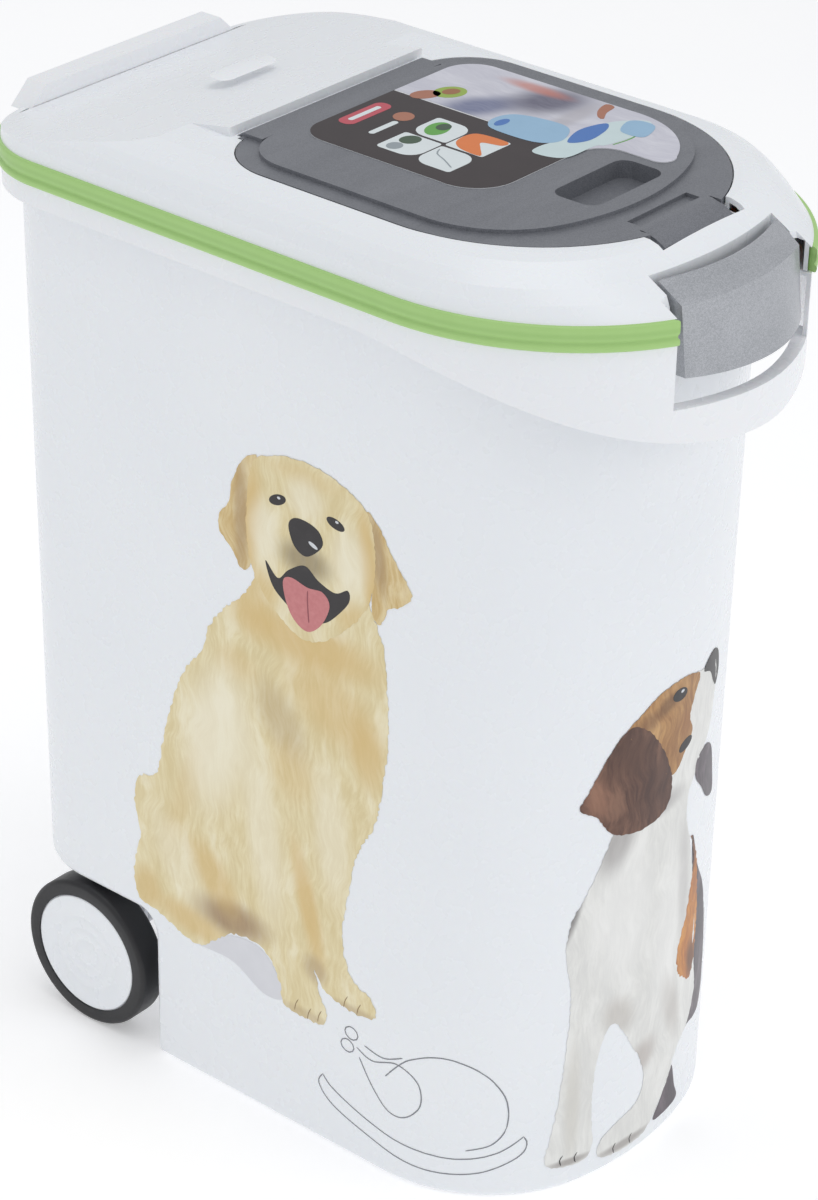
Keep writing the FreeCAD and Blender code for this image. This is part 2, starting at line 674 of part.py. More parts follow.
def save(name, shape):
    shape.exportStep("parts/" + name + ".step")
    size = shape.optimalBoundingBox(False)
    reach = "x %.1f %.1f y %.1f %.1f z %.1f %.1f" % (
        size.XMin, size.XMax, size.YMin, size.YMax, size.ZMin, size.ZMax)
    state = "valid" if shape.isValid() else "NOT VALID"
    print(name, state, len(shape.Solids), "solid,", round(shape.Volume), "mm3,", reach)


def main():
    os.makedirs("parts", exist_ok=True)
    for name, make in PIECES.items():
        save(name, make())
    for name, make in WHEEL_PIECES.items():
        right = make()
        save(name + "_right", right)
        save(name + "_left", mirrored(right))


main()
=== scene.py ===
"""Looks of the wheeled pet food bin: its mouldings, prints, label, floor, lights and camera.

Metres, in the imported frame: the front with the latch faces -Y, the wheels are at +Y, Z is up.
Sizes below are written in millimetres and turned into metres with MM.
"""
import bmesh
import bpy
import math
import random
from collections import namedtuple
from mathutils import Matrix, Vector
from mathutils.bvhtree import BVHTree
from mathutils.geometry import delaunay_2d_cdt


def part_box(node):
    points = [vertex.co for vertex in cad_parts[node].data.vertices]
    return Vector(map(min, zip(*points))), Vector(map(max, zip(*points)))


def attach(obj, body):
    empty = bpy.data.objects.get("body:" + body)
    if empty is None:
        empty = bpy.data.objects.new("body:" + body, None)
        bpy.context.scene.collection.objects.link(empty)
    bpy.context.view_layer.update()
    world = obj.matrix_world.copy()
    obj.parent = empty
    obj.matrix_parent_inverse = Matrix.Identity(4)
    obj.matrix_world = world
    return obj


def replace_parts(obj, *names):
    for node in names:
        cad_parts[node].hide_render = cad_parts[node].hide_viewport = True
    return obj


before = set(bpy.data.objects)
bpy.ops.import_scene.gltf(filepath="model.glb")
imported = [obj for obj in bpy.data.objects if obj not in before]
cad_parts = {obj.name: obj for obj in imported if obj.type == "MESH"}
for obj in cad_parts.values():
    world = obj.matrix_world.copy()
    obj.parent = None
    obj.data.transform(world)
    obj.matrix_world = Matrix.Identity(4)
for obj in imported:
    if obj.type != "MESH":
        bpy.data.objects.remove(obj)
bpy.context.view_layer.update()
MM = 0.001

# ---- sizes that the pieces share -----------------------------------------------------

Outline = namedtuple("Outline", "half_width rear_y rear_r flank_end_y nose_y nose_r")
BAND_OUTLINE = Outline(139.0, 222.0, 60.0, -97.0, -243.0, 108.0)
TUB_MOUTH = Outline(129.0, 211.5, 58.0, -93.0, -199.5, 160.0)
TUB_BASE = Outline(123.6, 203.0, 52.0, -93.0, -193.0, 200.0)
MOUTH_Z = 560.0
BAND_END_X = 60.0
BEAD_MIDDLE_Z = 569.6        # half way up the band's tall bead
CAP_RINGS = (25.0, 17.0, 9.0)
PRINT_LIFT = 0.12            # prints and stickers stand this far off what they are on
LAYER = 0.05                 # each further layer of a print
LABEL_BORDER = 3.6           # pale edge round the sticker's picture
LABEL_SPLIT_X = 26.0         # the dark half ends here
LABEL_SPLIT_GAP = 1.2
DECK_TOP = 600.0
PLAQUE_Y, PLAQUE_LENGTH, PLAQUE_WIDTH = 128.0, 46.0, 13.0

LABEL_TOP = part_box("flap_label")[1].z / MM
WHEEL_LOW, WHEEL_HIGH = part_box("wheel_tyre_right")
WHEEL_Y = (WHEEL_LOW.y + WHEEL_HIGH.y) / 2 / MM
WHEEL_R = (WHEEL_HIGH.z - WHEEL_LOW.z) / 2 / MM
WHEEL_FACE_X = WHEEL_HIGH.x / MM
TYRE_WIDTH = (WHEEL_HIGH.x - WHEEL_LOW.x) / MM
BAND_HIGH_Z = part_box("seal_band")[1].z / MM
CAP_R = (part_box("wheel_cap_right")[1].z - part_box("wheel_cap_right")[0].z) / 2 / MM


# ---- materials: plain arithmetic on shader sockets ------------------------------------

class Value:
    """A socket in a finish's nodes, for use in ordinary arithmetic."""

    def __init__(self, finish, socket):
        self.finish = finish
        self.socket = socket

    def _math(self, operation, a, b):
        return self.finish.node("ShaderNodeMath", {"operation": operation}, {0: a, 1: b})

    def __add__(self, other):
        return self._math("ADD", self, other)

    def __radd__(self, other):
        return self._math("ADD", other, self)

    def __sub__(self, other):
        return self._math("SUBTRACT", self, other)

    def __rsub__(self, other):
        return self._math("SUBTRACT", other, self)

    def __mul__(self, other):
        return self._math("MULTIPLY", self, other)

    def __rmul__(self, other):
        return self._math("MULTIPLY", other, self)


class Finish:
    """A material with one Principled shader, built by its own function below."""

    def __init__(self, name, **constants):
        self.material = bpy.data.materials.new(name)
        self.material.use_nodes = True
        self.tree = self.material.node_tree
        self.shader = self.tree.nodes["Principled BSDF"]
        for socket, value in constants.items():
            self.shader.inputs[socket.replace("_", " ")].default_value = value

    def node(self, kind, settings=None, inputs=None, output=0):
        made = self.tree.nodes.new(kind)
        for key, value in (settings or {}).items():
            if key == "stops":
                self._stops(made.color_ramp, value)
            else:
                setattr(made, key, value)
        for key, value in (inputs or {}).items():
            self.feed(made.inputs[key], value)
        return Value(self, made.outputs[output])

    def _stops(self, ramp, stops):
        while len(ramp.elements) < len(stops):
            ramp.elements.new(0.5)
        for element, (place, colour) in zip(ramp.elements, stops):
            element.position = place
            element.color = colour

    def feed(self, socket, value):
        if isinstance(value, Value):
            self.tree.links.new(value.socket, socket)
        else:
            socket.default_value = value

    def set(self, socket, value):
        self.feed(self.shader.inputs[socket], value)

    def mix(self, share, low, high):
        """Colour that goes from low to high with share."""
        inputs = {0: share, 6: low, 7: high}
        return self.node("ShaderNodeMix", {"data_type": "RGBA"}, inputs, output=2)

    def place(self):
        return self.node("ShaderNodeTexCoord", output=3)

    def print_place(self):
        return self.node("ShaderNodeUVMap", {"uv_map": "print"})

    def stretched(self, vector, scale, turn=0.0):
        settings = {"vector_type": "POINT"}
        return self.node("ShaderNodeMapping", settings, {0: vector, 2: (0, 0, turn), 3: scale})

    def noise(self, vector, scale, detail=4.0, roughness=0.5, distortion=0.0):
        inputs = {"Vector": vector, "Scale": scale, "Detail": detail, "Roughness": roughness,
                  "Distortion": distortion}
        return self.node("ShaderNodeTexNoise", None, inputs)

    def ramp(self, value, low, high):
        """0 below low, 1 above high, smooth between."""
        settings = {"interpolation_type": "SMOOTHSTEP"}
        return self.node("ShaderNodeMapRange", settings, {0: value, 1: low, 2: high})

    def soft_spot(self, place, centre, size, turn=0.0, edge=0.6):
        """1 inside an ellipse of a print, fading to 0 outside it; centre and size in millimetres."""
        x, y = centre
        w, h = size
        moved = self.node("ShaderNodeVectorMath", {"operation": "SUBTRACT"},
                          {0: place, 1: (x * MM, y * MM, 0)})
        turned = self.node("ShaderNodeVectorRotate", {"rotation_type": "Z_AXIS"},
                           {"Vector": moved, "Angle": math.radians(-turn)})
        scaled = self.node("ShaderNodeVectorMath", {"operation": "DIVIDE"},
                           {0: turned, 1: (w * MM, h * MM, 1)})
        reach = self.node("ShaderNodeVectorMath", {"operation": "LENGTH"}, {0: scaled}, output=1)
        return 1 - self.ramp(reach, 1 - edge, 1 + edge)

    def bump(self, height, strength, distance):
        inputs = {"Strength": strength, "Distance": distance * MM, "Height": height}
        self.set("Normal", self.node("ShaderNodeBump", None, inputs))


def rgb(red, green, blue):
    """Linear colour from screen values of 0 to 255."""
    return tuple((v / 255) ** 2.2 for v in (red, green, blue)) + (1.0,)


# ---- finishes --------------------------------------------------------------------------

def white_plastic():
    """Smooth white polypropylene with faint flow marks and a soft gloss."""
    f = Finish("white polypropylene", IOR=1.49, Subsurface_Weight=0.04)
    place = f.place()
    cloud = f.noise(place, 9.0, 2.0)
    f.set("Base Color", f.mix(cloud, rgb(241, 243, 247), rgb(248, 249, 251)))
    f.set("Roughness", 0.24 + 0.07 * f.noise(place, 60.0, 3.0))
    f.bump(f.noise(place, 900.0, 2.0), 0.05, 0.05)
    return f.material


def green_band():
    """Soft green moulding, slightly darker along its middle."""
    f = Finish("green band", IOR=1.5)
    place = f.place()
    height = f.node("ShaderNodeSeparateXYZ", None, {0: place}, output=2)
    middle = 1 - f.ramp(abs_of(f, height - BEAD_MIDDLE_Z * MM), 0.2 * MM, 2.6 * MM)
    colour = f.mix(middle * 0.5, rgb(172, 212, 132), rgb(150, 192, 112))
    grain = f.noise(place, 120.0, 3.0)
    f.set("Base Color", f.mix(grain * 0.18, colour, rgb(146, 190, 104)))
    f.set("Roughness", 0.36 + 0.1 * grain)
    f.bump(f.noise(place, 700.0, 2.0), 0.08, 0.06)
    return f.material


def abs_of(finish, value):
    return finish.node("ShaderNodeMath", {"operation": "ABSOLUTE"}, {0: value})


def flaked_grey(name, dark, light, rough):
    """Grey plastic with metal flake moulded in, in fine flow lines."""
    f = Finish(name, Metallic=0.35, IOR=1.5)
    place = f.place()
    flake = f.node("ShaderNodeTexVoronoi", {"feature": "F1"}, {"Vector": place, "Scale": 2600.0}, output=1)
    sparkle = f.node("ShaderNodeSeparateColor", None, {0: flake})
    flow = f.noise(f.stretched(place, (1.0, 6.0, 1.0)), 14.0, 3.0, 0.6)
    f.set("Base Color", f.mix(f.ramp(sparkle * 0.55 + flow * 0.45, 0.15, 0.85), dark, light))
    f.set("Roughness", rough + 0.12 * sparkle)
    f.bump(f.noise(place, 1500.0, 2.0), 0.10, 0.04)
    return f.material


def black_rubber():
    f = Finish("black wheel rubber", IOR=1.5)
    place = f.place()
    grain = f.noise(place, 420.0, 4.0)
    dust = f.noise(place, 26.0, 3.0)
    f.set("Base Color", f.mix(dust, rgb(26, 26, 28), rgb(44, 44, 47)))
    f.set("Roughness", 0.34 + 0.22 * grain)
    f.bump(grain, 0.15, 0.08)
    return f.material


def seal_rubber():
    f = Finish("grey seal", Roughness=0.7)
    place = f.place()
    f.set("Base Color", f.mix(f.noise(place, 200.0), rgb(150, 151, 152), rgb(176, 177, 178)))
    return f.material


def drawn_steel():
    """Bright drawn rod with fine lines round it."""
    f = Finish("drawn steel", Metallic=1.0)
    place = f.place()
    lines = f.noise(f.stretched(place, (60.0, 1.0, 1.0)), 60.0, 4.0)
    f.set("Base Color", f.mix(lines, rgb(176, 177, 180), rgb(206, 207, 210)))
    f.set("Roughness", 0.26 + 0.16 * lines)
    return f.material


def ink(name, colour, second=None, scale=90.0, rough=0.32):
    """Printed colour, a little uneven."""
    f = Finish(name, IOR=1.48)
    place = f.print_place()
    grain = f.noise(place, scale, 3.0)
    other = second or tuple(0.9 * v for v in colour[:3]) + (1.0,)
    f.set("Base Color", f.mix(grain, colour, other))
    f.set("Roughness", rough + 0.05 * grain)
    return f.material


def fur(name, base, shade, light, grain_turn, spots, glows=()):
    """Printed coat: strands along one way, with soft darker spots and lighter glows."""
    f = Finish(name, Roughness=0.33, IOR=1.48)
    place = f.print_place()
    bent = f.node("ShaderNodeVectorMath", {"operation": "MULTIPLY_ADD"},
                  {0: f.node("ShaderNodeTexNoise", None, {"Vector": place, "Scale": 22.0}, output=1),
                   1: (0.03, 0.03, 0.0), 2: place})
    strands = f.noise(f.stretched(bent, (1.0, 0.16, 1.0), math.radians(grain_turn)), 420.0, 6.0, 0.62)
    locks = f.noise(f.stretched(bent, (1.0, 0.30, 1.0), math.radians(grain_turn)), 70.0, 4.0, 0.6)
    colour = f.mix(f.ramp(strands * 0.5 + locks * 0.5, 0.36, 0.66), shade, base)
    colour = f.mix(f.ramp(locks, 0.5, 0.7) * 0.35, colour, light)
    for centre, size, turn, tone, strength in spots:
        mask = f.soft_spot(place, centre, size, turn) * strength
        colour = f.mix(mask * (0.7 + 0.5 * strands), colour, tone)
    for centre, size, turn, strength in glows:
        colour = f.mix(f.soft_spot(place, centre, size, turn) * strength, colour, light)
    f.set("Base Color", colour)
    return f.material


def pale_floor():
    f = Finish("pale floor", Roughness=0.75, Emission_Color=(1.0, 1.0, 1.0, 1.0), Emission_Strength=0.26)
    place = f.place()
    f.set("Base Color", f.mix(f.noise(place, 3.0), rgb(250, 250, 251), rgb(253, 253, 253)))
    return f.material


WHITE = white_plastic()
GREEN = green_band()
FLAP_GREY = flaked_grey("dark grey flake", rgb(112, 114, 120), rgb(136, 138, 144), 0.36)
LATCH_GREY = flaked_grey("silver grey flake", rgb(158, 161, 166), rgb(190, 192, 197), 0.30)
RUBBER = black_rubber()
SEAL = seal_rubber()
STEEL = drawn_steel()


# ---- mesh helpers ----------------------------------------------------------------------

def finished(obj, material, body, smooth_angle=38.0):
    """Gives a piece its material, shading and body."""
    mesh = obj.data
    mesh.materials.clear()
    mesh.materials.append(material)
    mesh.shade_smooth()
    mesh.set_sharp_from_angle(angle=math.radians(smooth_angle))
    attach(obj, body)
    return obj


def new_piece(name, bm):
    mesh = bpy.data.meshes.new(name)
    bm.to_mesh(mesh)
    bm.free()
    obj = bpy.data.objects.new(name, mesh)
    bpy.context.scene.collection.objects.link(obj)
    return obj


def softened(name, node, radius, material, body, angle=32.0):
    """The CAD node's own shape with every crisp edge rounded, as a moulding's are."""
    bm = bmesh.new()
    bm.from_mesh(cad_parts[node].data)
    bmesh.ops.remove_doubles(bm, verts=bm.verts, dist=0.004 * MM)
    bmesh.ops.dissolve_limit(bm, angle_limit=math.radians(0.6), verts=bm.verts, edges=bm.edges)
    obj = new_piece(name, bm)
    rounding = obj.modifiers.new("rounded edges", "BEVEL")
    rounding.width = radius * MM
    rounding.segments = 3
    rounding.limit_method = "ANGLE"
    rounding.angle_limit = math.radians(angle)
    rounding.use_clamp_overlap = True
    rounding.miter_outer = "MITER_ARC"
    rounding.harden_normals = False
    finished(obj, material, body)
    weights = obj.modifiers.new("even shading", "WEIGHTED_NORMAL")
    weights.keep_sharp = True
    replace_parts(obj, node)
    return obj


def turned(name, profile, side, material, slot, body, steps=96):
    """Round piece about the axle from (x, radius) points; side is 1 for right, -1 for left."""
    bm = bmesh.new()
    rings = []
    for x, radius in profile:
        ring = []
        for i in range(steps):
            turn = 2 * math.pi * i / steps
            y = WHEEL_Y + radius * math.cos(turn)
            z = WHEEL_R + radius * math.sin(turn)
            ring.append(bm.verts.new((side * x * MM, y * MM, z * MM)))
        rings.append(ring)
    for low, high in zip(rings, rings[1:] + rings[:1]):
        for i in range(steps):
            j = (i + 1) % steps
            bm.faces.new((low[i], low[j], high[j], high[i]))
    bmesh.ops.remove_doubles(bm, verts=bm.verts, dist=0.001 * MM)
    bmesh.ops.recalc_face_normals(bm, faces=bm.faces)
    return finished(new_piece(name, bm), material, body)


def rounded(centre, radius, start, end, steps=6):
    """Arc of (x, radius) points, angles in degrees from the outward axis."""
    points = []
    for i in range(steps + 1):
        turn = math.radians(start + (end - start) * i / steps)
        points.append((centre[0] + radius * math.cos(turn), centre[1] + radius * math.sin(turn)))
    return points


def arcs(size):
    """An outline's side radius, side and nose centres, and the way from one to the other where they meet."""
    w, _, _, flank_y, nose_y, nose_r = size
    depth = flank_y - nose_y
    side_r = (w * w + depth * depth - 2 * depth * nose_r) / (2 * (w - nose_r))
    side = Vector((w - side_r, flank_y))
    nose = Vector((0.0, nose_y + nose_r))
    way = (nose - side).normalized() * (1 if side_r > nose_r else -1)
    return side_r, side, nose, way


def half_outline(size, spacing=4.0):
    """Points of an outline's +X half, from the nose round to the middle of the rear."""
    w, rear, rear_r, flank_y, _, nose_r = size
    side_r, side, nose, way = arcs(size)
    join = side + way * side_r
    points = []

    def arc(centre, radius, start, end):
        count = max(2, round(abs(end - start) * radius / spacing))
        for i in range(count):
            turn = start + (end - start) * i / count
            points.append((centre[0] + radius * math.cos(turn), centre[1] + radius * math.sin(turn)))

    def line(start, end):
        count = max(1, round(math.dist(start, end) / spacing))
        for i in range(count):
            share = i / count
            points.append((start[0] + (end[0] - start[0]) * share, start[1] + (end[1] - start[1]) * share))

    quarter = math.pi / 2
    arc(nose, nose_r, -quarter, math.atan2(join.y - nose.y, join.x))
    arc(side, side_r, math.atan2(way.y, way.x), 0.0)
    line((w, flank_y), (w, rear - rear_r))
    arc((w - rear_r, rear - rear_r), rear_r, 0.0, quarter)
    line((w - rear_r, rear), (0.0, rear))
    points.append((0.0, rear))
    return points


def inset(size, amount):
    w, rear, rear_r, flank_y, nose_y, nose_r = size
    return Outline(w - amount, rear - amount, rear_r - amount, flank_y, nose_y + amount, nose_r - amount)


# ---- mouldings ------------------------------------------------------------------------

def make_band():
    """Closing band: a tall bead over a thinner one that stands out a little further."""
    profile = [(5.0, 0.0), (1.6, 0.0), (0.8, 0.5), (0.45, 1.6), (0.4, 5.2), (0.7, 7.2), (1.2, 8.4),
               (1.5, 9.2), (1.2, 9.9), (0.3, 10.4), (0.0, 11.4), (0.0, 12.6), (0.35, 13.6), (1.2, 14.3),
               (5.0, 14.5)]
    bm = bmesh.new()
    rows = []
    for amount, drop in profile:
        half = half_outline(inset(BAND_OUTLINE, amount), 3.0)
        side = [p for p in half if p[0] >= BAND_END_X or p[1] > 0]
        loop = side + [(-x, y) for x, y in reversed(side[:-1])]
        rows.append([bm.verts.new((x * MM, y * MM, (BAND_HIGH_Z - drop) * MM))
                     for x, y in resampled(loop, 360)])
    for upper, lower in zip(rows, rows[1:] + rows[:1]):
        for i in range(len(upper) - 1):
            bm.faces.new((upper[i], upper[i + 1], lower[i + 1], lower[i]))
    for end in (0, -1):
        bm.faces.new([row[end] for row in rows])
    bmesh.ops.recalc_face_normals(bm, faces=bm.faces)
    obj = finished(new_piece("closing_band", bm), GREEN, "lid", 50.0)
    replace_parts(obj, "seal_band")


def resampled(points, count):
    """The same line with evenly spaced points."""
    lengths = [0.0]
    for a, b in zip(points, points[1:]):
        lengths.append(lengths[-1] + math.dist(a, b))
    made = []
    at = 0
    for i in range(count):
        goal = lengths[-1] * i / (count - 1)
        while at < len(points) - 2 and lengths[at + 1] < goal:
            at += 1
        share = (goal - lengths[at]) / max(lengths[at + 1] - lengths[at], 1e-9)
        (x0, y0), (x1, y1) = points[at], points[at + 1]
        made.append((x0 + (x1 - x0) * share, y0 + (y1 - y0) * share))
    return made


def make_wheels():
    """Tyres with round shoulders and caps with faint rings, on both sides."""
    inner = WHEEL_FACE_X - TYRE_WIDTH
    hub_r = CAP_R + 1.8
    shoulder = 3.0
    tyre = [(inner, hub_r)]
    tyre += rounded((inner + shoulder, WHEEL_R - shoulder), shoulder, 180, 90)
    tyre += rounded((WHEEL_FACE_X - shoulder, WHEEL_R - shoulder), shoulder, 90, 0)
    tyre += rounded((WHEEL_FACE_X - 0.6, CAP_R + 0.9), 0.6, 0, -90, 3)
    tyre += [(WHEEL_FACE_X - 1.0, CAP_R + 0.3), (WHEEL_FACE_X - 1.0, hub_r)]
    face = WHEEL_FACE_X - 0.4
    cap = [(face - 3.2, CAP_R), (face - 0.9, CAP_R)] + rounded((face - 0.9, CAP_R - 0.9), 0.9, 90, 0, 4)
    for ring_r in CAP_RINGS:
        cap += [(face, ring_r + 1.0), (face - 0.25, ring_r + 0.4),
                (face - 0.25, ring_r - 0.4), (face, ring_r - 1.0)]
    cap += [(face, 0.01), (face - 2.2, 0.01), (face - 2.2, CAP_R - 2.0), (face - 3.2, CAP_R - 2.0)]
    for word, side in (("right", 1), ("left", -1)):
        body = "wheel_" + word
        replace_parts(turned("tyre_" + word, tyre, side, RUBBER, "tyre_black", body), "wheel_tyre_" + word)
        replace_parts(turned("cap_" + word, cap, side, WHITE, "white_plastic", body), "wheel_cap_" + word)


def make_mouldings():
    softened("tub_moulding", "tub", 1.4, WHITE, "bin")
    softened("flap_moulding", "flap", 0.7, FLAP_GREY, "flap")
    softened("latch_moulding", "latch", 0.9, LATCH_GREY, "latch", 20.0)
    plain = {"lid": WHITE, "wheel_hub_left": WHITE, "wheel_hub_right": WHITE, "flap_gasket": SEAL,
             "axle": STEEL, "lid_hinge_pin": STEEL, "push_nut_left": STEEL, "push_nut_right": STEEL}
    for node, material in plain.items():
        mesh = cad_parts[node].data
        mesh.materials.clear()
        mesh.materials.append(material)


# ---- prints on the tub ------------------------------------------------------------------

TUB_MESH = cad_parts["tub"].data
TUB_SKIN = BVHTree.FromPolygons([v.co for v in TUB_MESH.vertices], [f.vertices for f in TUB_MESH.polygons])


def wall_place(along, height, lift):
    """Place on the left wall: millimetres along it from the flank's front end, then up from the floor."""
    share = height / MOUTH_Z
    size = Outline(*(low + (high - low) * share for low, high in zip(TUB_BASE, TUB_MOUTH)))
    side_r, side, nose, way = arcs(size)
    last_turn = math.atan2(way.y, way.x)
    side_length = -last_turn * side_r
    if along <= 0:
        spot, out = Vector((size.half_width, size.flank_end_y - along)), Vector((1.0, 0.0))
    elif along <= side_length:
        out = Vector((math.cos(along / side_r), -math.sin(along / side_r)))
        spot = side + out * side_r
    else:
        join = side + way * side_r
        turn = math.atan2(join.y - nose.y, join.x) - (along - side_length) / size.nose_r
        out = Vector((math.cos(turn), math.sin(turn)))
        spot = nose + out * size.nose_r
    outside = spot + 3 * out
    place, normal, _, _ = TUB_SKIN.find_nearest(Vector((-outside.x, outside.y, height)) * MM)
    return place + normal * lift * MM


def smooth_loop(points, step=2.0, closed=True):
    """Curve through the points (Catmull-Rom), cut into short steps."""
    count = len(points)
    made = []
    for i in range(count if closed else count - 1):
        if closed:
            a, b, c, d = (points[(i + k) % count] for k in (-1, 0, 1, 2))
        else:
            a, b, c, d = (points[min(max(i + k, 0), count - 1)] for k in (-1, 0, 1, 2))
        pieces = max(1, round(math.dist(b, c) / step))
        for j in range(pieces):
            t = j / pieces
            made.append(tuple(0.5 * (2 * q + (r - p) * t + (2 * p - 5 * q + 4 * r - s) * t * t
                                     + (3 * q - p - 3 * r + s) * t ** 3) for p, q, r, s in zip(a, b, c, d)))
    if not closed:
        made.append(tuple(points[-1]))
    return made


def tufted(loop, size, seed=1):
    """An outline with its edge ruffled outwards and inwards, as a coat's is."""
    chance = random.Random(seed)
    made = []
    for i, (x, y) in enumerate(loop):
        (x0, y0), (x1, y1) = loop[i - 1], loop[(i + 1) % len(loop)]
        length = math.dist((x0, y0), (x1, y1)) or 1.0
        push = chance.uniform(-size, size)
        made.append((x + (y1 - y0) / length * push, y - (x1 - x0) / length * push))
    return made


def filled(loop, spacing):
    """Triangles that fill a closed outline evenly."""
    xs = [p[0] for p in loop]
    ys = [p[1] for p in loop]
    places = [Vector(p) for p in loop]
    for i in range(1, int((max(xs) - min(xs)) / spacing)):
        for j in range(1, int((max(ys) - min(ys)) / spacing)):
            places.append(Vector((min(xs) + i * spacing, min(ys) + j * spacing)))
    flat, _, faces, _, _, _ = delaunay_2d_cdt(places, [], [list(range(len(loop)))], 1, 0.01)
    return flat, faces


def patch(name, loop, material, layer, on_wall=True, spacing=5.0):
    """A thin printed shape, wrapped on the tub's wall or lying on the flap's label."""
    flat, faces = filled(loop, spacing)
    lift = PRINT_LIFT + layer * LAYER
    bm = bmesh.new()
    print_map = bm.loops.layers.uv.new("print")
    if on_wall:
        verts = [bm.verts.new(wall_place(p.x, p.y, lift)) for p in flat]
    else:
        verts = [bm.verts.new(Vector((p.x, p.y, LABEL_TOP + lift)) * MM) for p in flat]
    for face in faces:
        if len(set(face)) > 2:
            made = bm.faces.new([verts[i] for i in face])
            for corner, i in zip(made.loops, face):
                corner[print_map].uv = (flat[i].x * MM, flat[i].y * MM)
    bm.normal_update()
    outward = sum((f.normal for f in bm.faces), Vector())
    if (outward.x > 0) if on_wall else (outward.z < 0):
        bmesh.ops.reverse_faces(bm, faces=bm.faces)
    slot, body = ("white_plastic", "bin") if on_wall else ("label", "flap")
    return finished(new_piece(name, bm), material, body, 60.0)


def stroke(name, points, width, material, layer, closed=False, on_wall=True):
    """A drawn line of even width that tapers at its ends unless it is closed."""
    line = smooth_loop(points, 2.0, closed)
    left, right = [], []
    for i, (x, y) in enumerate(line):
        (x0, y0) = line[i - 1] if closed or i else line[0]
        (x1, y1) = line[(i + 1) % len(line)] if closed or i < len(line) - 1 else line[-1]
        length = math.dist((x0, y0), (x1, y1)) or 1.0
        half = width / 2 * (1.0 if closed or 0 < i < len(line) - 1 else 0.4)
        side = ((y1 - y0) / length * half, -(x1 - x0) / length * half)
        left.append((x + side[0], y + side[1]))
        right.append((x - side[0], y - side[1]))
    lift = PRINT_LIFT + layer * LAYER
    bm = bmesh.new()
    print_map = bm.loops.layers.uv.new("print")

    def placed(p):
        return wall_place(*p, lift) if on_wall else Vector((p[0], p[1], LABEL_TOP + lift)) * MM

    rows = [[bm.verts.new(placed(p)) for p in side] for side in (left, right)]
    count = len(line)
    for i in range(count if closed else count - 1):
        j = (i + 1) % count
        made = bm.faces.new((rows[0][i], rows[1][i], rows[1][j], rows[0][j]))
        for corner, p in zip(made.loops, (left[i], right[i], right[j], left[j])):
            corner[print_map].uv = (p[0] * MM, p[1] * MM)
    slot, body = ("white_plastic", "bin") if on_wall else ("label", "flap")
    return finished(new_piece(name, bm), material, body, 60.0)


def oval(centre, size, turn=0.0, count=28):
    """Outline of an ellipse; turn in degrees."""
    slant = math.radians(turn)
    made = []
    for i in range(count):
        a = 2 * math.pi * i / count
        x, y = size[0] * math.cos(a), size[1] * math.sin(a)
        made.append((centre[0] + x * math.cos(slant) - y * math.sin(slant),
                     centre[1] + x * math.sin(slant) + y * math.cos(slant)))
    return made


def blob(*points):
    return smooth_loop(points, 2.0)


DARK = ink("dark print", rgb(34, 31, 33), rgb(52, 48, 50))
GLINT = ink("pale print", rgb(225, 228, 232), rgb(205, 208, 214))


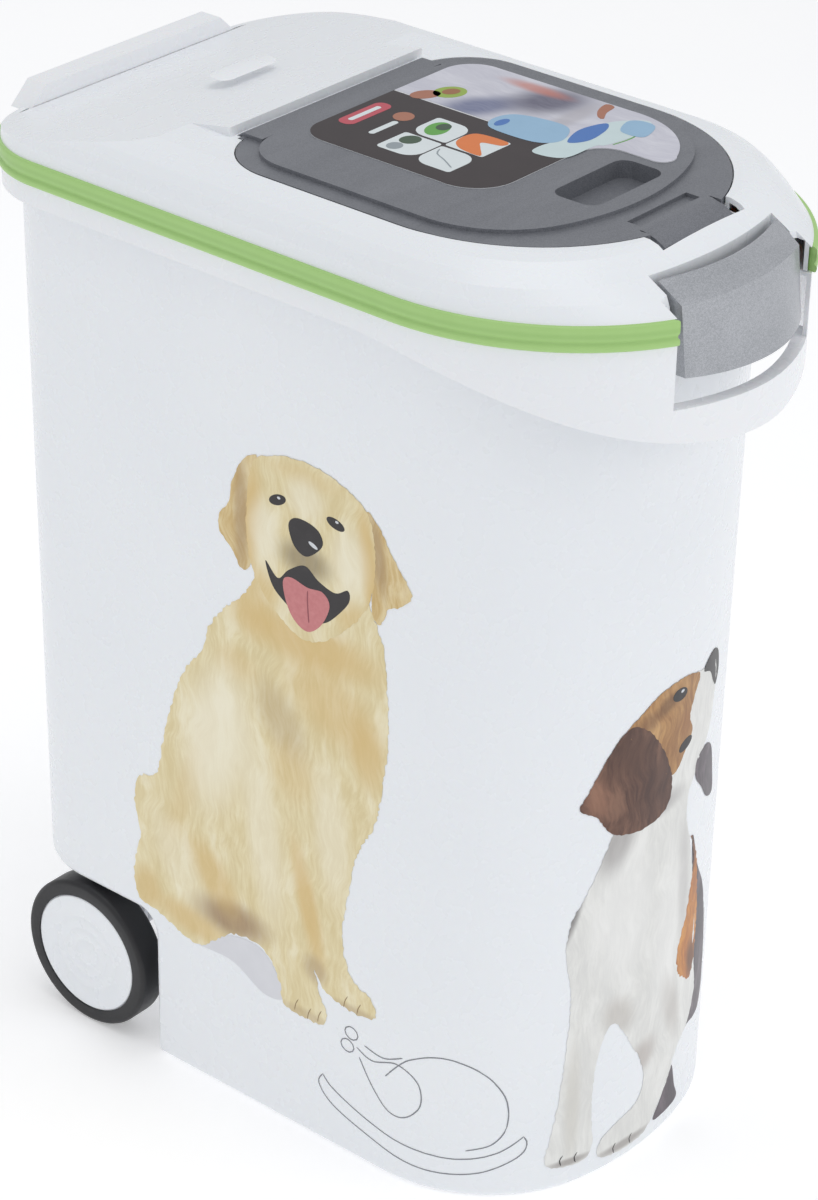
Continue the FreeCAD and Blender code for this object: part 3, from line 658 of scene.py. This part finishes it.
def draw_cream_dog():
    """A long-coated cream dog that sits and looks out, mouth open."""
    cream, shade, pale = rgb(240, 228, 188), rgb(222, 204, 154), rgb(249, 243, 220)
    gold, brown = rgb(218, 184, 116), rgb(160, 130, 98)
    coat = fur("cream coat", cream, shade, pale, 12, (
        ((-58, 340), (46, 14), 0, gold, 0.75), ((-40, 306), (32, 20), -25, gold, 0.55),
        ((-100, 352), (14, 20), 0, gold, 0.5), ((-78, 282), (14, 24), 35, brown, 0.30),
        ((-112, 306), (14, 10), 0, gold, 0.35), ((-70, 250), (16, 18), 20, gold, 0.35),
        ((-14, 285), (12, 20), 10, gold, 0.6), ((-118, 128), (26, 12), 4, brown, 0.9),
        ((-132, 152), (12, 24), 40, gold, 0.6), ((-150, 112), (26, 9), -8, gold, 0.6),
        ((-58, 165), (7, 38), 14, gold, 0.75), ((-52, 122), (8, 9), 20, brown, 0.5),
        ((-186, 120), (10, 14), 0, gold, 0.55), ((-150, 210), (8, 50), -20, gold, 0.25),
        ((-20, 106), (22, 4), 0, brown, 0.45), ((-58, 86), (20, 4), 0, brown, 0.35)),
        (((-128, 250), (22, 46), -12, 0.7), ((-92, 200), (12, 56), 8, 0.5), ((-40, 220), (12, 40), 6, 0.45),
         ((-160, 150), (14, 30), 30, 0.35)))
    face = fur("cream face", cream, shade, pale, 70, (
        ((-100, 404), (7, 32), -4, gold, 0.8), ((-14, 404), (6, 32), 8, gold, 0.8),
        ((-60, 392), (17, 10), 0, rgb(120, 104, 80), 0.7), ((-94, 362), (14, 14), 30, gold, 0.5),
        ((-22, 366), (14, 12), -30, gold, 0.5), ((-60, 444), (26, 6), 0, gold, 0.25)),
        (((-90, 400), (10, 18), 0, 0.6), ((-28, 402), (12, 20), 0, 0.6), ((-60, 430), (12, 12), 0, 0.5)))
    ears = fur("golden ears", rgb(230, 210, 160), rgb(204, 172, 112), rgb(242, 230, 198), 0, (
        ((-107, 404), (5, 34), 0, brown, 0.55), ((-8, 414), (5, 22), 10, brown, 0.6)), ())
    tongue = ink("tongue", rgb(214, 140, 140), rgb(190, 108, 112), 300.0)
    shadow = ink("under shadow", rgb(214, 215, 221), rgb(226, 227, 232), 60.0)
    patch("dog_shadow", blob((-150, 98), (-118, 116), (-92, 116), (-76, 92), (-92, 86), (-118, 98)),
          shadow, 0)
    body = blob((-104, 356), (-120, 340), (-133, 322), (-138, 306), (-152, 286), (-162, 262), (-170, 234),
                (-176, 206), (-190, 198), (-195, 180), (-191, 156), (-197, 130), (-193, 110), (-176, 106),
                (-158, 99), (-142, 98), (-130, 108), (-116, 118), (-98, 120), (-86, 112), (-79, 98),
                (-77, 87), (-64, 84), (-48, 85), (-43, 92), (-48, 106), (-53, 122), (-46, 112),
                (-30, 106), (-14, 106), (-6, 110), (-10, 122), (-22, 127), (-30, 142), (-31, 164),
                (-26, 192), (-20, 218), (-8, 242), (-3, 268), (1, 300), (0, 330), (-6, 366), (-30, 396),
                (-80, 396))
    patch("dog_body", tufted(body, 0.8), coat, 1)
    left_ear = blob((-95, 443), (-106, 438), (-113, 424), (-117, 408), (-124, 398), (-123, 388), (-114, 380),
                    (-107, 370), (-100, 376), (-99, 400))
    right_ear = blob((-16, 438), (-6, 430), (2, 418), (12, 404), (15, 396), (8, 388), (0, 384), (-6, 372),
                     (-12, 380), (-12, 410))
    patch("dog_ear_left", tufted(left_ear, 0.5, 2), ears, 2)
    patch("dog_ear_right", tufted(right_ear, 0.5, 3), ears, 2)
    head = blob((-98, 440), (-80, 450), (-58, 453), (-36, 449), (-18, 440), (-11, 424), (-10, 400),
                (-15, 380), (-26, 364), (-44, 348), (-60, 342), (-76, 348), (-92, 362), (-102, 384),
                (-103, 412))
    patch("dog_head", tufted(head, 0.5, 4), face, 3)
    patch("dog_mouth", blob((-89, 382), (-80, 374), (-72, 382), (-60, 389), (-50, 383), (-38, 380),
                            (-29, 385), (-28, 378), (-37, 366), (-46, 358), (-60, 353), (-74, 360),
                            (-84, 368)), DARK, 4)
    patch("dog_tongue", blob((-76, 374), (-70, 378), (-58, 376), (-47, 377), (-42, 370), (-48, 356),
                             (-58, 348), (-68, 352), (-74, 362)), tongue, 5)
    stroke("tongue_crease", ((-58, 374), (-58, 366), (-57, 354)), 0.9, ink("crease", rgb(150, 80, 86)), 6)
    patch("dog_nose", blob((-72, 410), (-68, 416), (-59, 417), (-50, 414), (-47, 407), (-52, 400),
                           (-60, 395), (-68, 399)), DARK, 5)
    patch("dog_nose_glint", oval((-54, 404), (3.5, 1.3), -20), GLINT, 6)
    for side, turn in ((-80, 24), (-38, -12)):
        patch("dog_eye_%d" % side, oval((side, 423), (6.6, 3.2), turn), DARK, 4)
        patch("dog_eye_glint_%d" % side, oval((side + 1, 424.5), (1.2, 0.8)), GLINT, 5)
    for x, z in ((-68, 86), (-58, 84), (-50, 86), (-30, 106), (-20, 105)):
        stroke("toe_%d" % x, ((x, z), (x + 1, z + 5), (x + 3, z + 9)),
               0.6, ink("toe %d" % x, rgb(150, 122, 84)), 2)


def draw_puppy():
    """A short-coated puppy, white with brown ears, that sits and looks up round the corner."""
    white = fur("puppy white", rgb(236, 236, 232), rgb(222, 222, 219), rgb(246, 246, 244), 6, (
        ((142, 232), (10, 18), -20, rgb(120, 112, 112), 0.6),
        ((112, 190), (4, 20), -20, rgb(80, 72, 76), 0.7),
        ((172, 70), (12, 10), 30, rgb(150, 132, 122), 0.45),
        ((150, 110), (10, 14), 30, rgb(170, 160, 150), 0.45),
        ((200, 92), (8, 24), 20, rgb(168, 158, 150), 0.4), ((172, 246), (22, 7), 0, rgb(150, 146, 146), 0.6),
        ((118, 60), (5, 40), 0, rgb(196, 190, 176), 0.35), ((160, 12), (22, 3), 0, rgb(120, 108, 104), 0.6),
        ((118, 18), (14, 2.5), 0, rgb(110, 98, 94), 0.6), ((205, 180), (6, 40), 4, rgb(170, 166, 166), 0.4)),
        (((150, 180), (22, 40), 0, 0.5), ((190, 150), (12, 50), 0, 0.4)))
    brown = fur("puppy brown", rgb(116, 82, 66), rgb(76, 50, 42), rgb(158, 120, 98), 24, (
        ((150, 290), (14, 16), 30, rgb(86, 60, 50), 0.6), ((172, 262), (12, 18), 0, rgb(70, 46, 40), 0.55),
        ((126, 268), (8, 12), 20, rgb(168, 122, 98), 0.5)), ())
    tan = fur("puppy tan", rgb(196, 150, 96), rgb(150, 106, 66), rgb(224, 188, 140), 60, (
        ((176, 312), (10, 5), 20, rgb(90, 60, 40), 0.6), ((196, 290), (6, 10), 0, rgb(150, 100, 60), 0.5),
        ((160, 306), (8, 6), 0, rgb(110, 76, 54), 0.5)), ())
    orange = fur("puppy orange", rgb(206, 132, 46), rgb(166, 96, 34), rgb(228, 168, 90), 4, (
        ((216, 196), (4, 16), 8, rgb(86, 64, 54), 0.8), ((224, 112), (6, 14), 10, rgb(80, 52, 36), 0.8)), ())
    dark_coat = fur("puppy back", rgb(96, 84, 92), rgb(62, 54, 62), rgb(132, 122, 130), 8, (), ())
    patch("pup_back", blob((214, 204), (224, 180), (238, 156), (248, 120), (252, 80), (244, 62), (226, 62),
                           (214, 60), (224, 90), (222, 140)), dark_coat, 1)
    patch("pup_hind_foot", blob((206, 44), (212, 26), (216, 14), (200, 12), (188, 14), (196, 26)),
          dark_coat, 1)
    body = blob((141, 244), (130, 222), (121, 204), (113, 190), (110, 166), (114, 142), (114, 122),
                (112, 94), (108, 60), (104, 38), (101, 24), (106, 17), (120, 15), (131, 17), (134, 28),
                (132, 52), (134, 82), (140, 102), (146, 107), (154, 98), (163, 82), (171, 68), (175, 52),
                (170, 38), (152, 31), (141, 24), (138, 14), (148, 9), (162, 8), (178, 10), (190, 20),
                (202, 36), (212, 54), (226, 64), (234, 84), (230, 106), (226, 140), (218, 176),
                (211, 202), (204, 222), (204, 240), (212, 256), (190, 276), (160, 262))
    patch("pup_body", tufted(body, 0.5, 5), white, 2)
    far_ear = blob((212, 258), (224, 262), (234, 256), (240, 238), (243, 220), (232, 222), (222, 234),
                   (212, 246))
    patch("pup_far_ear", far_ear, dark_coat, 3)
    patch("pup_side", tufted(blob((212, 206), (218, 186), (216, 168), (212, 150), (207, 138), (204, 126),
                                  (206, 112), (214, 104), (222, 98), (229, 108), (229, 140), (226, 168),
                                  (220, 192)), 0.9, 6), orange, 3)
    muzzle = blob((200, 320), (214, 318), (228, 318), (233, 306), (231, 284), (224, 266), (210, 256),
                  (192, 258), (184, 266), (196, 284), (196, 304))
    patch("pup_muzzle", tufted(muzzle, 0.4, 7), white, 3)
    patch("pup_face", tufted(blob((144, 304), (156, 315), (170, 322), (186, 324), (200, 322), (208, 317),
                                  (203, 306), (199, 294), (203, 284), (196, 272), (186, 262), (176, 268),
                                  (164, 290)), 0.4, 8), tan, 4)
    patch("pup_ear", tufted(blob((115, 264), (120, 274), (128, 288), (138, 302), (148, 308), (160, 302),
                                 (170, 290), (178, 276), (184, 260), (183, 246), (176, 239), (160, 236),
                                 (146, 238), (136, 243), (126, 256)), 0.4, 9), brown, 5)
    patch("pup_nose", blob((213, 317), (220, 323), (229, 324), (235, 318), (237, 306), (233, 298),
                           (228, 303), (222, 312)), DARK, 4)
    patch("pup_eye", oval((187, 314), (7.0, 4.2), -8), DARK, 5)
    patch("pup_eye_glint", oval((189, 315.5), (1.6, 1.0)), GLINT, 6)
    patch("pup_lip", oval((196, 277), (7.0, 3.6), 16), DARK, 5)
    for x, z in ((112, 17), (122, 16), (152, 9), (166, 9)):
        stroke("claw_%d" % x, ((x, z), (x - 1, z + 4), (x + 1, z + 7)), 0.8, DARK, 3)


def draw_roast():
    """A thin line drawing of a roast bird on a platter."""
    line = ink("drawing line", rgb(120, 122, 128), rgb(140, 142, 148))
    stroke("platter_rim", ((-46, 50), (-38, 43), (-14, 34), (16, 28), (48, 27), (72, 33), (88, 44)),
           0.8, line, 0)
    stroke("platter_edge", ((-46, 50), (-49, 42), (-38, 31), (-10, 22), (26, 15), (60, 18), (84, 29),
                            (90, 38), (88, 44)), 0.8, line, 0)
    stroke("roast_body", ((2, 72), (18, 90), (40, 98), (62, 91), (76, 74), (78, 54), (70, 40), (54, 34)),
           0.8, line, 0)
    stroke("drumstick", ((-20, 82), (-8, 78), (10, 84), (24, 76), (26, 60), (16, 48), (4, 48), (-8, 60),
                         (-18, 76)), 0.8, line, 0)
    stroke("second_leg", ((-14, 86), (0, 84), (14, 90)), 0.8, line, 0)
    for centre in ((-27, 80), (-24, 90)):
        stroke("bone_end_%d" % centre[1], oval(centre, (5.0, 4.4), count=10), 0.8, line, 0, True)


# ---- label on the flap --------------------------------------------------------------------

def inner_label(distance):
    """The label's own outline, drawn in by a distance."""
    bm = bmesh.new()
    bm.from_mesh(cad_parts["flap_label"].data)
    bmesh.ops.remove_doubles(bm, verts=bm.verts, dist=0.004 * MM)
    low = [f for f in bm.faces if f.normal.z < 0.9]
    bmesh.ops.delete(bm, geom=low, context="FACES")
    bmesh.ops.dissolve_faces(bm, faces=bm.faces)
    top = max(bm.faces, key=lambda f: f.calc_area())
    bmesh.ops.inset_region(bm, faces=[top], thickness=distance * MM, use_even_offset=True)
    outline = [(v.co.x / MM, v.co.y / MM) for v in top.verts]
    bm.free()
    return outline


def cut_at(outline, x_split, keep_low):
    """The share of an outline on one side of a straight cut."""
    made = []
    for (x0, y0), (x1, y1) in zip(outline, outline[1:] + outline[:1]):
        inside0, inside1 = (x0 < x_split) == keep_low, (x1 < x_split) == keep_low
        if inside0:
            made.append((x0, y0))
        if inside0 != inside1:
            share = (x_split - x0) / (x1 - x0)
            made.append((x_split, y0 + (y1 - y0) * share))
    return made


def rounded_box(x0, y0, x1, y1, radii):
    """Rectangle with its own corner radius at each corner, from the lower left anticlockwise."""
    corners = ((x0, y0, 180), (x1, y0, 270), (x1, y1, 0), (x0, y1, 90))
    made = []
    for (x, y, start), r in zip(corners, radii):
        cx = x + (r if x == x0 else -r)
        cy = y + (r if y == y0 else -r)
        for i in range(7):
            a = math.radians(start + 15 * i)
            made.append((cx + r * math.cos(a), cy + r * math.sin(a)))
    return made


def draw_label():
    """A generic sticker: dark half with a plain badge and four icons, pale half with bowls and a bin."""
    paper = ink("label paper", rgb(232, 233, 235), rgb(222, 224, 228))
    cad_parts["flap_label"].data.materials.clear()
    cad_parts["flap_label"].data.materials.append(paper)
    inside = inner_label(LABEL_BORDER)
    dark = ink("label dark", rgb(48, 36, 38), rgb(40, 30, 32), 40.0)
    picture = fur("label picture", rgb(208, 208, 218), rgb(196, 196, 208), rgb(226, 226, 234), 40, (
        ((40, -12), (22, 12), -30, rgb(96, 104, 140), 0.9), ((72, -36), (22, 16), -30, rgb(78, 76, 100),
        0.9),
        ((82, -20), (5, 20), 0, rgb(196, 120, 104), 0.8), ((62, -60), (26, 6), 0, rgb(170, 166, 172),
        0.6)), ())
    tones = {name: ink(name, rgb(*tone), None, 60.0) for name, tone in (
        ("badge red", (196, 78, 92)), ("icon pale", (226, 234, 236)), ("leaf green", (96, 168, 70)),
        ("deep green", (60, 84, 62)), ("icon orange", (228, 124, 60)), ("bowl green", (150, 178, 70)),
        ("bowl brown", (156, 104, 62)), ("bin blue", (150, 188, 218)), ("bin deep blue", (70, 118, 190)),
        ("bin pale", (206, 224, 226)), ("toy brown", (172, 112, 88)), ("icon grey", (150, 160, 166)))}

    def put(name, loop, tone, layer):
        patch("label_" + name, loop, tones[tone], layer, False, 12.0)

    patch("label_dark_half", cut_at(inside, LABEL_SPLIT_X, True), dark, 0, False, 14.0)
    patch("label_picture_half", cut_at(inside, LABEL_SPLIT_X + LABEL_SPLIT_GAP, False),
          picture, 0, False, 8.0)
    put("badge", rounded_box(-30, 22, 8, 33, (5, 5, 5, 5)), "badge red", 1)
    put("badge_bar", rounded_box(-24, 26, 2, 29.4, (1.5, 1.5, 1.5, 1.5)), "icon pale", 2)
    put("strip", rounded_box(-31, 5, -8, 9, (2, 2, 2, 2)), "icon pale", 1)
    put("strip_dot", oval((0, 9), (6.5, 6.0), 20), "toy brown", 1)
    icons = (("scoop", -42, -32, (10, 2, 2, 3)), ("bowl", -14, -32, (2, 10, 2, 10)),
             ("line", -44, -59, (2, 10, 2, 10)), ("bag", -16, -59, (2, 2, 10, 2)))
    for name, x, y, radii in icons:
        put(name, rounded_box(x, y, x + 26, y + 26, radii), "icon pale", 1)
    put("scoop_near", oval((-35, -14), (5, 4.5)), "icon grey", 2)
    put("scoop_far", oval((-23, -15), (6.5, 5.5), -20), "deep green", 2)
    put("leaf", oval((-1, -16), (10, 6.5), 12), "leaf green", 2)
    put("leaf_core", oval((3, -17), (5, 4)), "deep green", 3)
    put("bag_top", blob((-15, -57), (-14, -42), (-6, -34), (8, -36), (10, -56), (4, -57), (0, -46),
        (-6, -50)), "icon orange", 2)
    stroke("label_icon_line", ((-38, -56), (-32, -46), (-28, -38), (-22, -35)), 0.9, tones["icon grey"], 2,
           False, False)
    put("hand", oval((33, 21), (9, 6), -30), "toy brown", 1)
    put("green_bowl", oval((45, 13), (10, 8), -24), "bowl green", 1)
    put("green_bowl_food", oval((46, 13), (5.5, 4), -24), "bowl brown", 2)
    put("blue_tray", blob((8, -76), (16, -72), (40, -76), (66, -78), (80, -86), (86, -96), (70, -102),
                          (44, -98), (38, -94), (14, -92)), "bin pale", 1)
    put("blue_bin", blob((19, -40), (24, -31), (34, -29), (44, -34), (49, -48), (50, -64), (44, -72),
                         (30, -76), (20, -66)), "bin blue", 2)
    put("blue_bin_mark", oval((30, -36), (6, 3)), "bin deep blue", 3)
    put("blue_well", blob((32, -80), (48, -74), (62, -76), (68, -80), (60, -85), (42, -87)),
        "bin deep blue", 2)
    put("blue_cup", blob((64, -92), (78, -86), (84, -92), (82, -102), (66, -106)), "bin blue", 2)
    put("toy", blob((72, -70), (80, -64), (90, -62), (90, -68), (80, -70), (72, -74)), "toy brown", 1)
    stroke("label_floor_line", ((46, -100), (60, -102), (78, -100)),
           1.0, tones["leaf green"], 1, False, False)


def make_deck_plaque():
    """A blank raised oval on the rear deck."""
    bm = bmesh.new()
    rows = []
    for grow, height in ((1.4, -0.4), (0.9, 0.15), (0.0, 0.35)):
        loop = rounded_box(-PLAQUE_LENGTH / 2 - grow, PLAQUE_Y - PLAQUE_WIDTH / 2 - grow,
                           PLAQUE_LENGTH / 2 + grow, PLAQUE_Y + PLAQUE_WIDTH / 2 + grow,
                           [PLAQUE_WIDTH / 2 + grow] * 4)
        rows.append([bm.verts.new(Vector((x, y, DECK_TOP + height)) * MM) for x, y in loop])
    for low, high in zip(rows, rows[1:]):
        for i in range(len(low)):
            j = (i + 1) % len(low)
            bm.faces.new((low[i], low[j], high[j], high[i]))
    bm.faces.new(rows[-1])
    bmesh.ops.recalc_face_normals(bm, faces=bm.faces)
    finished(new_piece("deck_plaque", bm), WHITE, "lid", 50.0)


# ---- floor, lights and camera ------------------------------------------------------------

def make_floor():
    bm = bmesh.new()
    bmesh.ops.create_grid(bm, x_segments=1, y_segments=1, size=12.0)
    floor = new_piece("floor", bm)
    floor.data.materials.append(pale_floor())


def make_light(name, spot, size, power, target=(0.0, 0.0, 0.30)):
    lamp = bpy.data.lights.new(name, "AREA")
    lamp.shape = "DISK"
    lamp.size = size
    lamp.energy = power
    holder = bpy.data.objects.new(name, lamp)
    holder.location = spot
    holder.rotation_euler = (Vector(target) - Vector(spot)).to_track_quat("-Z", "Y").to_euler()
    bpy.context.scene.collection.objects.link(holder)


def make_lights():
    make_light("overhead", (-0.2, -0.3, 2.6), 1.8, 11.0)
    make_light("front", (0.9, -2.2, 1.5), 1.6, 7.0)
    make_light("side", (-2.4, -0.2, 1.3), 2.0, 2.5)
    make_light("rear", (0.6, 2.3, 1.8), 1.6, 3.0)
    world = bpy.data.worlds.new("studio")
    world.use_nodes = True
    backdrop = world.node_tree.nodes["Background"]
    backdrop.inputs["Color"].default_value = (0.97, 0.98, 1.0, 1.0)
    backdrop.inputs["Strength"].default_value = 0.60
    bpy.context.scene.world = world
    bpy.context.scene.view_settings.view_transform = "Standard"


def make_camera():
    """Camera on a sphere about a target near the middle of the bin, rolled a little."""
    target = Vector((-19.4, -18.7, 316.7)) * MM
    distance = 2158.8 * MM
    azimuth = math.radians(-50.743)
    elevation = math.radians(29.462)
    roll = math.radians(1.352)
    back = Vector((math.cos(elevation) * math.sin(azimuth), -math.cos(elevation) * math.cos(azimuth),
                   math.sin(elevation)))
    data = bpy.data.cameras.new("camera")
    data.sensor_fit = "VERTICAL"
    data.sensor_height = 36.0
    data.lens = 111.9
    camera = bpy.data.objects.new("camera", data)
    turn = (-back).to_track_quat("-Z", "Y").to_matrix().to_4x4() @ Matrix.Rotation(roll, 4, "Z")
    camera.matrix_world = Matrix.Translation(target + back * distance) @ turn
    bpy.context.scene.collection.objects.link(camera)
    bpy.context.scene.camera = camera


make_mouldings()
make_band()
make_wheels()
draw_cream_dog()
draw_puppy()
draw_roast()
draw_label()
make_deck_plaque()
make_floor()
make_lights()
make_camera()


def plain(bounds):
    return [[round(v, 6) for v in corner] for corner in bounds]
